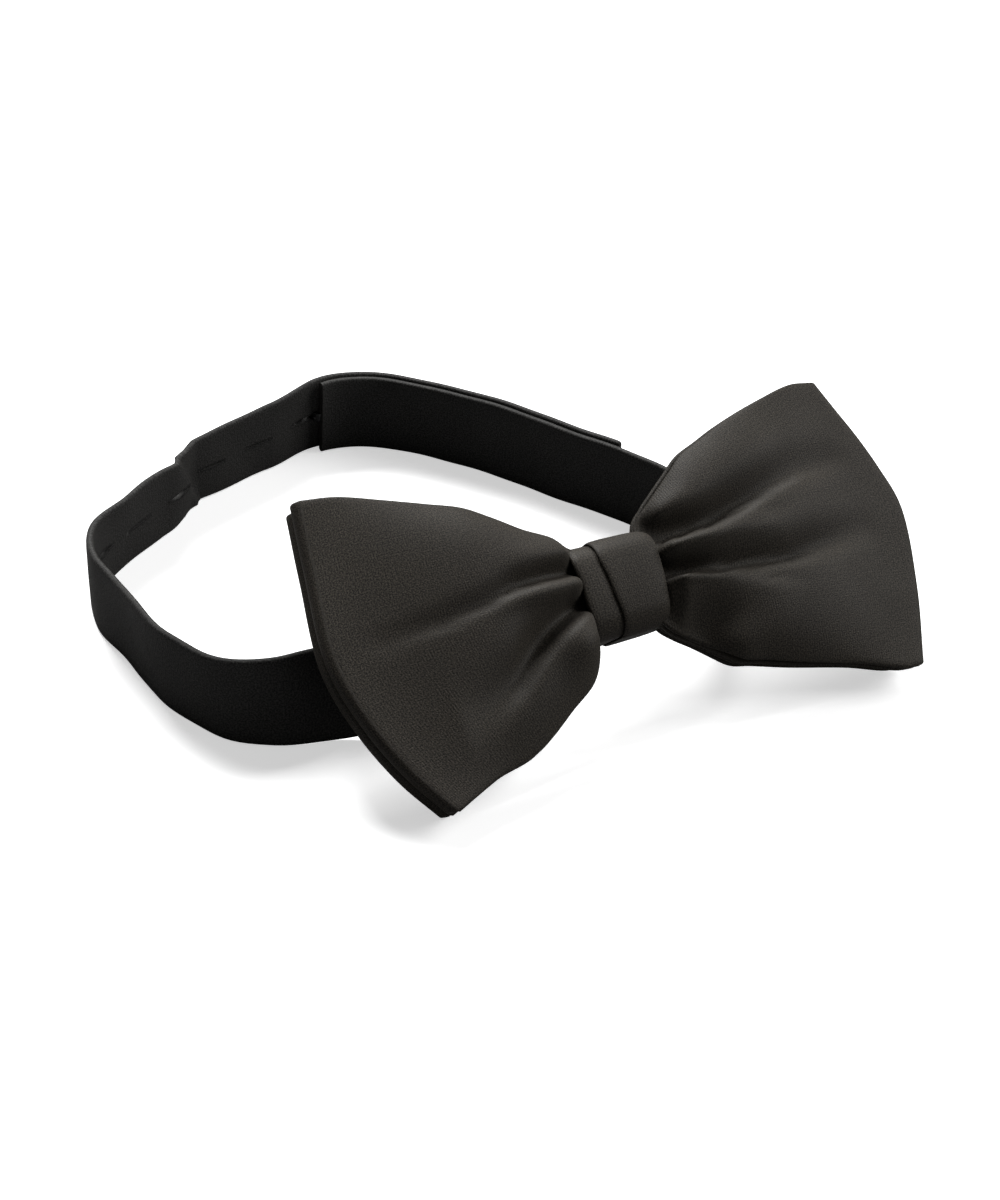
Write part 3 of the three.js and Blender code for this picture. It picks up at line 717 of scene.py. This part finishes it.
KNOT_BACK = -7.35
KNOT_FRONT_CORNER = 3.3
KNOT_BACK_CORNER = 1.1
KNOT_CROWN = 0.9
SEAM_HALF = 1.1


def knot_path():
    """The knot's inner face from its seam round the waist: places (y, z) and outward directions."""
    h, f, b, r = KNOT_HALF_HEIGHT, KNOT_FRONT, KNOT_BACK, KNOT_FRONT_CORNER
    rb = KNOT_BACK_CORNER
    points, outs = [], []

    def straight(ys, zs, out):
        for y, z in np.broadcast(ys, zs):
            points.append((y, z))
            outs.append(out)

    def corner(y, z, radius, angles):
        for a in np.radians(angles):
            points.append((y + radius * math.cos(a), z + radius * math.sin(a)))
            outs.append((math.cos(a), math.sin(a)))

    straight(np.linspace(SEAM_HALF, h - rb, 6)[:-1], b, (0, -1))
    corner(h - rb, b + rb, rb, np.linspace(-90, 0, 7))
    straight(h, np.linspace(b + rb, f - r, 6)[1:-1], (1, 0))
    corner(h - r, f - r, r, np.linspace(0, 90, 13))
    straight(np.linspace(h - r, -(h - r), 15)[1:-1], f, (0, 1))
    corner(-(h - r), f - r, r, np.linspace(90, 180, 13))
    straight(-h, np.linspace(f - r, b + rb, 6)[1:-1], (-1, 0))
    corner(-(h - rb), b + rb, rb, np.linspace(180, 270, 7))
    straight(np.linspace(-(h - rb), -SEAM_HALF, 6)[1:], b, (0, -1))
    points, outs = np.array(points), np.array(outs)
    y, z = points.T
    crown = KNOT_CROWN * (1 - (y / h) ** 2) * smooth(z, 0.0, f)
    return points + outs * crown[:, None], outs


def knot_ring(section, y, z, out, front):
    """The cloth across the knot at one place round the waist, where the tuck shows in front."""
    place, height = section.T
    share = place / KNOT_HALF_WIDTH
    depth = np.minimum(height, TUCK_DEPTH + (height - TUCK_DEPTH) * front)
    lower = np.clip((5 - y) / 13, 0, 1.2) * smooth(z, -6, 0)
    x = place * 1.07 - 0.2
    x = x - np.clip(share, 0, 1) * 1.3 * lower ** 1.3
    x = x + 1.3 * lower * np.exp(-(((place + 3.2) / 2.2) ** 2))
    x = x + 0.12 * np.sin(y * 0.9) * np.clip(-share, 0, 1)
    return np.stack([x, y + out[0] * depth, z + out[1] * depth], -1)


def thread_piece(name, paths, radius, sides=5):
    """Short lengths of thread as one piece."""
    points, faces = [], []
    for path in paths:
        path = np.asarray(path, float)
        ahead = unit(np.gradient(path, axis=0))
        aside = unit(np.cross(ahead, ahead[len(path) // 2] + [0.31, 0.52, 0.17]))
        above = np.cross(ahead, aside)
        angles = np.arange(sides) * 2 * math.pi / sides
        taper = np.ones(len(path))
        taper[[0, -1]] = 0.6
        thick = radius * taper[:, None, None]
        ring = (
            path[:, None]
            + thick * np.cos(angles)[None, :, None] * aside[:, None]
            + thick * np.sin(angles)[None, :, None] * above[:, None]
        )
        faces += ring_faces(len(path), sides, False, len(points))
        points += ring.reshape(-1, 3).tolist()
    return finish_mesh(name, points, faces, None, materials()["twisted_thread"])


class BOWTIE_OT_knot(bpy.types.Operator):
    """Wraps the knot's satin, with its tuck, round the waist and whips its ends together behind"""

    bl_idname = "bowtie.knot"
    bl_label = "Knot"

    def execute(self, context):
        points, outs = knot_path()
        section = np.array(KNOT_SECTION, float)
        front = smooth(outs[:, 1], -0.5, 0.4)
        rings = np.array([
            knot_ring(section, *point, out, share)
            for point, out, share in zip(points, outs, front)
        ])
        faces = ring_faces(len(rings), rings.shape[1], False)
        across = np.linalg.norm(np.diff(section, axis=0), axis=1)
        flat = np.zeros((*rings.shape[:2], 2))
        flat[..., 0] = np.concatenate([[0], np.cumsum(across)])
        flat[..., 1] = across_map(rings, False)[..., 0]
        ob = finish_mesh("knot", bow_place(rings).reshape(-1, 3), faces, flat.reshape(-1, 2),
                         materials()["charcoal_satin"], 60)
        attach(ob, "bow")
        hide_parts("knot_wrap")
        z = KNOT_BACK - 0.75
        stitch = [(-0.35, -1.5, z + 0.45), (-0.3, -1.25, z - 0.2), (-0.1, -0.5, z - 0.3),
                  (0.1, 0.5, z - 0.3), (0.3, 1.25, z - 0.2), (0.35, 1.5, z + 0.45)]
        whip = [bow_place(np.array(stitch) + [x, 0, 0]) for x in np.linspace(-6, 6, 9)]
        ob = thread_piece("whip_stitches", whip, WHIP_THREAD_RADIUS)
        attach(ob, "bow")
        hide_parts("knot_stitches")
        return {"FINISHED"}


# ---- The band ----
def standing(tilt):
    """How high the middle of a band is that stands on its edge and leans by a tilt."""
    return 9 * np.cos(tilt) + 0.85 * np.sin(tilt)


def band_place(s, up, out):
    """A point of the band: along it from the knot, up its width, and out of the neck loop."""
    s, up, out = np.broadcast_arrays(*(np.asarray(x, float) for x in (s, up, out)))
    along = s % route.length
    from_right = route.length - along
    left = along < HOOK_STRIP_FROM + 20
    tilt = np.where(
        left,
        LEAN * (1 - smooth(along, *LEFT_UNTWIST))
        + BACK_TILT * smooth(along, *BACK_LEAN_STARTS) * (1 - smooth(along, *BACK_LEAN_ENDS)),
        LEAN * (1 - smooth(from_right, *RIGHT_UNTWIST)),
    )
    at_knot = KNOT_RISE - standing(LEAN)
    lift = at_knot * np.where(
        left, 1 - smooth(along, *LEFT_DESCENT), 1 - smooth(from_right, *RIGHT_DESCENT)
    )
    point = route.at(along)
    ahead = route.at((along + 0.3) % route.length) - route.at((along - 0.3) % route.length)
    ahead = unit(ahead)
    aside = -up * np.sin(tilt) + out * np.cos(tilt)
    return (
        np.stack(
            [
                point[..., 0] - ahead[..., 1] * aside,
                point[..., 1] + ahead[..., 0] * aside,
                standing(tilt) + lift + up * np.cos(tilt) + out * np.sin(tilt),
            ],
            -1,
        )
        + ROUTE_SHIFT
    )


def slit_strip_out(s):
    """The slit strip passes outside the hook strip where the two overlap."""
    return 2.1 * smooth(s, 185.1, 198.1)


def soft_band(s, up):
    """Small waves of a worn band: how far it stands out, and how far its edges wander."""
    wave = 0.16 * np.sin(s * 0.21 + 0.6) + 0.08 * np.sin(s * 0.47 + up * 0.25)
    past = s - WORN_CREASE_AT + 0.3 * up
    wave = wave + 0.6 * np.tanh(past / 0.55) * np.exp(-((past / 5) ** 2))
    twist = 0.015 * up * np.sin(s * 0.13 + 1.1)
    calm = smooth(np.minimum(s, route.length - s), 14, 26)
    return (wave + twist) * calm


def band_outline(half, rows=10, round_steps=5):
    """The section of a band, up and out, anticlockwise from its inner lower end."""
    t = BAND_THICKNESS / 2
    up = np.linspace(-1, 1, rows)
    ridge = 0.07 * np.exp(-(((1 - np.abs(up)) * half - 1.6) / 0.5) ** 2)
    inner = [(u * (half - t), -(t - 0.05) - r) for u, r in zip(up, ridge)]
    arc = [
        (half - t + t * math.sin(a), -t * math.cos(a))
        for a in np.linspace(0, math.pi, round_steps + 2)[1:-1]
    ]
    outer = [(u * (half - t), (t - 0.05) + r) for u, r in zip(up, ridge)][::-1]
    back_arc = [(-u, -o) for u, o in arc]
    return np.array(inner + arc + outer + back_arc)


def worn_place(s, up, out, ahead=0):
    """A point of the worn band, which slants where it is creased."""
    slant = 0.35 * up * math.exp(-(((s - WORN_CREASE_AT + 1) / 7) ** 2))
    return band_place(s + ahead - slant, up, out + soft_band(np.full(len(up), s), up))


def band_map(s, up, out):
    """The cloth map of the band, its inner face apart from its outer one."""
    return np.stack([np.full(len(up), s), up + np.where(out > 0, 0, 31)], -1)


def narrow_at_knot(s):
    """Half width of the band, drawn in where it goes through the knot."""
    near = min(s % route.length, route.length - s % route.length)
    half = bpy.context.scene.bow_tie_sizes.band_width / MM / 2
    return half * (0.8 + 0.2 * float(smooth(near, 7, 15)))


def strap(name, start, end, step, nodes):
    count = max(2, int(round((end - start) / step)) + 1)
    rings, uvs = [], []
    for s in np.linspace(start, end, count):
        up, out = band_outline(narrow_at_knot(s)).T
        rings.append(worn_place(s, up, out))
        uvs.append(band_map(s, up, out))
    rings, uvs = np.array(rings), np.array(uvs)
    faces = ring_faces(len(rings), rings.shape[1], False)
    ob = finish_mesh(name, rings.reshape(-1, 3), faces, uvs.reshape(-1, 2),
                     materials()["black_satin"], 50)
    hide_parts(*nodes)
    return ob


def blend_at(ob, first, second, s_from, s_to):
    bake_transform(ob)


def slit_places():
    return [HOOKED_AT + (n - HOOKED_SLIT) * SLIT_PITCH for n in range(1, SLIT_COUNT + 1)]


def slit_half(n, opening):
    """Half the gap between a buttonhole's lips, wider at the first and third; gap_at also spreads
    the one that the hook goes through.
    """
    return opening * (0.4 + 0.25 * math.sin(n * 2.4)) + (0.25 * opening if n in (1, 3) else 0)


def gap_at(s, opening):
    """Half the gap across the band at a place along it, none between the buttonholes."""
    for n, place in enumerate(slit_places(), 1):
        reach = (s - place) / SLIT_HALF_LENGTH
        if abs(reach) < 1:
            lens = (1 - reach * reach) ** 1.5
            if n == HOOKED_SLIT:
                neck = NECK_HALF_GAP * math.exp(-(((s - NECK_AT) / 0.75) ** 4))
                return max(slit_half(1, opening) * lens, neck)
            return slit_half(n, opening) * lens
    return 0


def slit_strap_stations():
    """Places along the slit strap, closer together at its buttonholes and its crease."""
    stations = [float(s) for s in np.arange(STRAP_SPLIT, SLIT_STRIP_TO - 0.4, 1.25)]
    stations += [float(s) for s in np.arange(155, 162, 0.4)]
    half = (0.25, 0.5, 0.7, 0.84, 0.93, 0.985, 1)
    shares = [-x for x in reversed(half)] + [0, *half]
    for place in slit_places():
        stations = [s for s in stations if abs(s - place) > SLIT_HALF_LENGTH + 0.3]
        stations += [place + SLIT_HALF_LENGTH * x for x in shares]
    return sorted(stations) + [SLIT_STRIP_TO - 0.35, SLIT_STRIP_TO - 0.1, SLIT_STRIP_TO]


def slit_strap():
    """The left strap's far half with its buttonholes, each a gap between two lips."""
    sizes = bpy.context.scene.bow_tie_sizes
    opening = sizes.slit_opening / MM
    s_values = slit_strap_stations()
    whole = band_outline(sizes.band_width / MM / 2, rows=17)
    t = BAND_THICKNESS / 2 - 0.05
    upper = np.array([(0, -t)] + [p for p in whole if p[0] > 0.05] + [(0, t)])
    halves = {1: upper, -1: (upper * [-1, 1])}
    points, uvs, faces = [], [], []
    for sign, outline in halves.items():
        first = len(points)
        n = len(outline)
        for s in s_values:
            past = max(0, (s - (SLIT_STRIP_TO - 0.75)) / 0.75)
            close = float(np.sqrt(max(0, 1 - past ** 2)))
            up = outline[:, 0] * (1 - 0.06 * (1 - close))
            lip = np.clip(1 - np.abs(up) / 5, 0, 1)
            up = up + sign * gap_at(s, opening) * lip
            out = outline[:, 1] * (0.35 + 0.65 * close)
            points += worn_place(s, up, out + slit_strip_out(s)).tolist()
            uvs += band_map(s, up, out).tolist()
        for i in range(len(s_values) - 1):
            a, b = first + i * n, first + (i + 1) * n
            for k in range(n - 1):
                faces.append((a + k, b + k, b + k + 1, a + k + 1)[:: sign])
            middle = (s_values[i] + s_values[i + 1]) / 2
            if gap_at(middle, opening) > 0:
                faces.append((a + n - 1, b + n - 1, b, a)[:: sign])
        faces.append(tuple(first + k for k in range(n))[:: sign])
        last = first + (len(s_values) - 1) * n
        faces.append(tuple(last + k for k in range(n))[:: -sign])
    ob = finish_mesh("slit_strap", points, faces, uvs, materials()["black_satin"], 50)
    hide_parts("slit_strip", "slit_strip_interlining")
    blend_at(ob, "neck_band", "slit_end", *SLIT_BEND)
    return ob


class BOWTIE_OT_straps(bpy.types.Operator):
    """Makes the two straps of the neck band, from the knot to their free ends"""

    bl_idname = "bowtie.straps"
    bl_label = "Neck band"

    def execute(self, context):
        left = strap("left_strap", 0, STRAP_SPLIT, 1.5,
                     ("left_band", "left_band_interlining", "knot_band", "knot_band_interlining"))
        blend_at(left, "bow", "neck_band", *LEFT_BEND)
        slit_strap()
        hook = strap("hook_strap", HOOK_STRAP_FROM, RIGHT_SPLIT, 1.2,
                     ("hook_strip", "hook_strip_interlining"))
        blend_at(hook, "hook_end", "right_band", *HOOK_BEND)
        right = strap("right_strap", RIGHT_SPLIT, LOOP_LENGTH, 1.5,
                      ("right_band", "right_band_interlining"))
        blend_at(right, "right_band", "bow", *RIGHT_BEND)
        return {"FINISHED"}


def stitch_path(s, sign, deep, lean, opening):
    """One stitch over a lip of a buttonhole, from the outer face round the lip to the inner."""
    t = BAND_THICKNESS / 2
    gap = gap_at(s, opening)
    half = [(gap + deep, t - 0.12), (gap + deep * 0.55, t - 0.03), (gap + 0.12, t - 0.05)]
    rows = half + [(gap, 0)] + [(up, -out) for up, out in reversed(half)]
    up, out = np.array(rows, float).T
    ahead = lean * np.linspace(-1, 1, len(rows))
    return worn_place(s, up * sign, out + slit_strip_out(s), ahead)


class BOWTIE_OT_buttonholes(bpy.types.Operator):
    """Sews the stitches round each buttonhole of the slit strap"""

    bl_idname = "bowtie.buttonholes"
    bl_label = "Buttonholes"

    def execute(self, context):
        sizes = context.scene.bow_tie_sizes
        opening = sizes.slit_opening / MM
        for n, place in enumerate(slit_places(), 1):
            paths = []
            for sign in (1, -1):
                for k, x in enumerate(np.linspace(-3.75, 3.75, sizes.stitches)):
                    lean = 0.05 * math.sin(k * 1.9 + n)
                    deep = 0.62 + 0.1 * math.sin(k * 2.7 + n)
                    paths.append(stitch_path(place + x, sign, deep, lean, opening))
            ob = thread_piece(f"buttonhole_{n:02d}", paths, THREAD_RADIUS, 4)
            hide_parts(f"buttonhole_stitching_{n:02d}")
            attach(ob, "slit_end")
        return {"FINISHED"}


# The T-hook along the band: place, half height and how far it is out of the band's middle.
HOOK_STATIONS = [
    (206.9, 6.5, 0), (204.5, 6.5, 0), (202.0, 6.5, 0), (201.6, 5.6, 0), (201.2, 1.6, 0),
    (200.4, 1.0, 0), (198.2, 1.0, 0.1), (197.7, 1.0, 0.9), (197.1, 1.0, 2.6),
    (196.6, 1.0, 3.45), (196.0, 1.0, 3.6), (195.7, 1.5, 3.6), (195.45, 3.2, 3.6),
    (194.3, 3.5, 3.62), (193.4, 3.2, 3.5), (193.15, 2.7, 3.4),
]
HOOK_STEEL = 0.5
HOOK_EDGE = 0.1


def rounded(co):
    """A place as a key that two points share if they are in the same place."""
    return tuple(round(c, 9) for c in co)


class BOWTIE_OT_hook(bpy.types.Operator):
    """Bends the flat T-hook from sheet steel and hooks it through its buttonhole"""

    bl_idname = "bowtie.hook"
    bl_label = "T-hook"

    def execute(self, context):
        bpy.ops.object.select_all(action="DESELECT")
        bpy.ops.mesh.primitive_grid_add(x_subdivisions=1, y_subdivisions=4, size=1)
        ob = context.active_object
        ob.name = ob.data.name = "t_hook_steel"
        mesh = ob.data
        bpy.ops.object.mode_set(mode="EDIT")
        bpy.ops.mesh.select_mode(type="VERT")
        bpy.ops.mesh.select_all(action="DESELECT")
        bpy.ops.object.mode_set(mode="OBJECT")
        first_column = min(v.co.x for v in mesh.vertices)
        across = sorted({round(v.co.y, 4) for v in mesh.vertices})
        front_rows = {}
        for v in mesh.vertices:
            in_front = abs(v.co.x - first_column) >= 1e-3
            row = across.index(round(v.co.y, 4)) / (len(across) - 1) * 2 - 1
            s, half, out = HOOK_STATIONS[int(in_front)]
            v.co = Vector(band_place(s, row * half, out) * MM)
            v.select = in_front
            if in_front:
                front_rows[v.index] = row
        for s, half, out in HOOK_STATIONS[2:]:
            bpy.ops.object.mode_set(mode="EDIT")
            bpy.ops.mesh.select_mode(type="EDGE")
            bpy.ops.mesh.extrude_region_move(TRANSFORM_OT_translate={"value": (0, 0, 0)})
            bpy.ops.object.mode_set(mode="OBJECT")
            before = {rounded(mesh.vertices[i].co): row for i, row in front_rows.items()}
            chosen = [v for v in mesh.vertices if v.select]
            front_rows = {v.index: before[rounded(v.co)] for v in chosen}
            for v in chosen:
                v.co = Vector(band_place(s, front_rows[v.index] * half, out) * MM)
        select_only(ob)
        wall = ob.modifiers.new("wall", "SOLIDIFY")
        wall.thickness = HOOK_STEEL * MM
        wall.offset = 0
        edge = ob.modifiers.new("edge", "BEVEL")
        edge.width = HOOK_EDGE * MM
        edge.segments = 2
        edge.limit_method = "ANGLE"
        for modifier in ("wall", "edge"):
            bpy.ops.object.modifier_apply(modifier=modifier)
        bpy.ops.object.shade_smooth_by_angle(angle=math.radians(35))
        ob.data.materials.append(materials()["lacquered_steel"])
        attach(ob, "hook_end")
        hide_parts("t_hook")
        return {"FINISHED"}


# ---- The stage ----
CAMERA_PLACE = Vector((-0.152949, -0.305894, 0.257509))
CAMERA_DOWN, CAMERA_TURNED, CAMERA_ROLL = (math.radians(x) for x in (37.22, 27.39, 2.24))
CAMERA_LENS = 63.141
FLOOR_SIZE = 6
LIGHT_TARGET = Vector((0, 0, 0.02))
LIGHTS = {  # place, side of the square lamp, setting that holds its power
    "key_light": ((0.1, 1.0, 1.25), 0.7, "key_power"),
    "side_light": ((1.15, -0.35, 0.95), 0.9, "fill_power"),
}


class BOWTIE_OT_stage(bpy.types.Operator):
    """Lays a pale floor and sets soft lights and the camera"""

    bl_idname = "bowtie.stage"
    bl_label = "Stage"

    def execute(self, context):
        look = context.scene.bow_tie_stage
        bpy.ops.object.select_all(action="DESELECT")
        bpy.ops.mesh.primitive_plane_add(size=FLOOR_SIZE, location=(0, 0, 0))
        floor = context.active_object
        floor.name = "floor"
        floor.data.materials.append(floor_material(look.floor_colour))
        world = bpy.data.worlds.new("studio")
        world.use_nodes = True
        tree = world.node_tree
        seen = node(tree, "ShaderNodeLightPath").outputs["Is Camera Ray"]
        strength = math_node(tree, "MULTIPLY_ADD", seen, 1 - look.ambient, look.ambient)
        tree.nodes["Background"].inputs["Color"].default_value = (1, 1, 1, 1)
        link(tree, strength, tree.nodes["Background"].inputs["Strength"])
        context.scene.world = world
        for name, (place, size, power) in LIGHTS.items():
            light = bpy.data.lights.new(name, "AREA")
            light.energy = getattr(look, power)
            light.size = size
            ob = bpy.data.objects.new(name, light)
            context.collection.objects.link(ob)
            ob.location = place
            ob.rotation_mode = "QUATERNION"
            ob.rotation_quaternion = (LIGHT_TARGET - Vector(place)).to_track_quat("-Z", "Y")
        camera = bpy.data.cameras.new("camera")
        camera.sensor_width = 36
        camera.lens = CAMERA_LENS
        camera.clip_start, camera.clip_end = 0.01, 20
        ob = bpy.data.objects.new("camera", camera)
        context.collection.objects.link(ob)
        down, turned, roll = CAMERA_DOWN, CAMERA_TURNED, CAMERA_ROLL
        level = Vector((math.sin(turned), math.cos(turned), 0))
        right = Vector((math.cos(turned), -math.sin(turned), 0))
        ahead = math.cos(down) * level - math.sin(down) * Vector((0, 0, 1))
        above = math.sin(down) * level + math.cos(down) * Vector((0, 0, 1))
        x = math.cos(roll) * right + math.sin(roll) * above
        y = -math.sin(roll) * right + math.cos(roll) * above
        turn = Matrix((x, y, -ahead)).transposed().to_4x4()
        ob.matrix_world = Matrix.Translation(CAMERA_PLACE) @ turn
        context.scene.camera = ob
        context.scene.view_settings.view_transform = "Standard"
        return {"FINISHED"}


class BOWTIE_PT_panel(bpy.types.Panel):
    """Lists the pieces of the bow tie"""

    bl_idname = "BOWTIE_PT_panel"
    bl_label = "Bow Tie"
    bl_space_type = "VIEW_3D"
    bl_region_type = "UI"
    bl_category = "Bow Tie"

    def draw(self, context):
        scene = context.scene
        for settings in (scene.bow_tie_sizes, scene.bow_tie_finish, scene.bow_tie_stage):
            box = self.layout.box()
            for name in settings.__annotations__:
                box.prop(settings, name)
        for operator in OPERATORS:
            self.layout.operator(operator.bl_idname)


OPERATORS = (
    BOWTIE_OT_stage,
    BOWTIE_OT_loops,
    BOWTIE_OT_knot,
    BOWTIE_OT_straps,
    BOWTIE_OT_buttonholes,
    BOWTIE_OT_hook,
)
SETTINGS = {
    "bow_tie_sizes": BowTieSizes,
    "bow_tie_finish": BowTieFinish,
    "bow_tie_stage": BowTieStage,
}
CLASSES = (*SETTINGS.values(), *OPERATORS, BOWTIE_PT_panel)


def register():
    for made in CLASSES:
        bpy.utils.register_class(made)
    for name, settings in SETTINGS.items():
        setattr(bpy.types.Scene, name, PointerProperty(type=settings))


def unregister():
    for name in SETTINGS:
        delattr(bpy.types.Scene, name)
    for made in reversed(CLASSES):
        bpy.utils.unregister_class(made)


def main():
    register()
    bpy.ops.bowtie.stage()
    bpy.ops.bowtie.loops()
    bpy.ops.bowtie.knot()
    bpy.ops.bowtie.straps()
    bpy.ops.bowtie.buttonholes()
    bpy.ops.bowtie.hook()


if __name__ == "__main__":
    main()
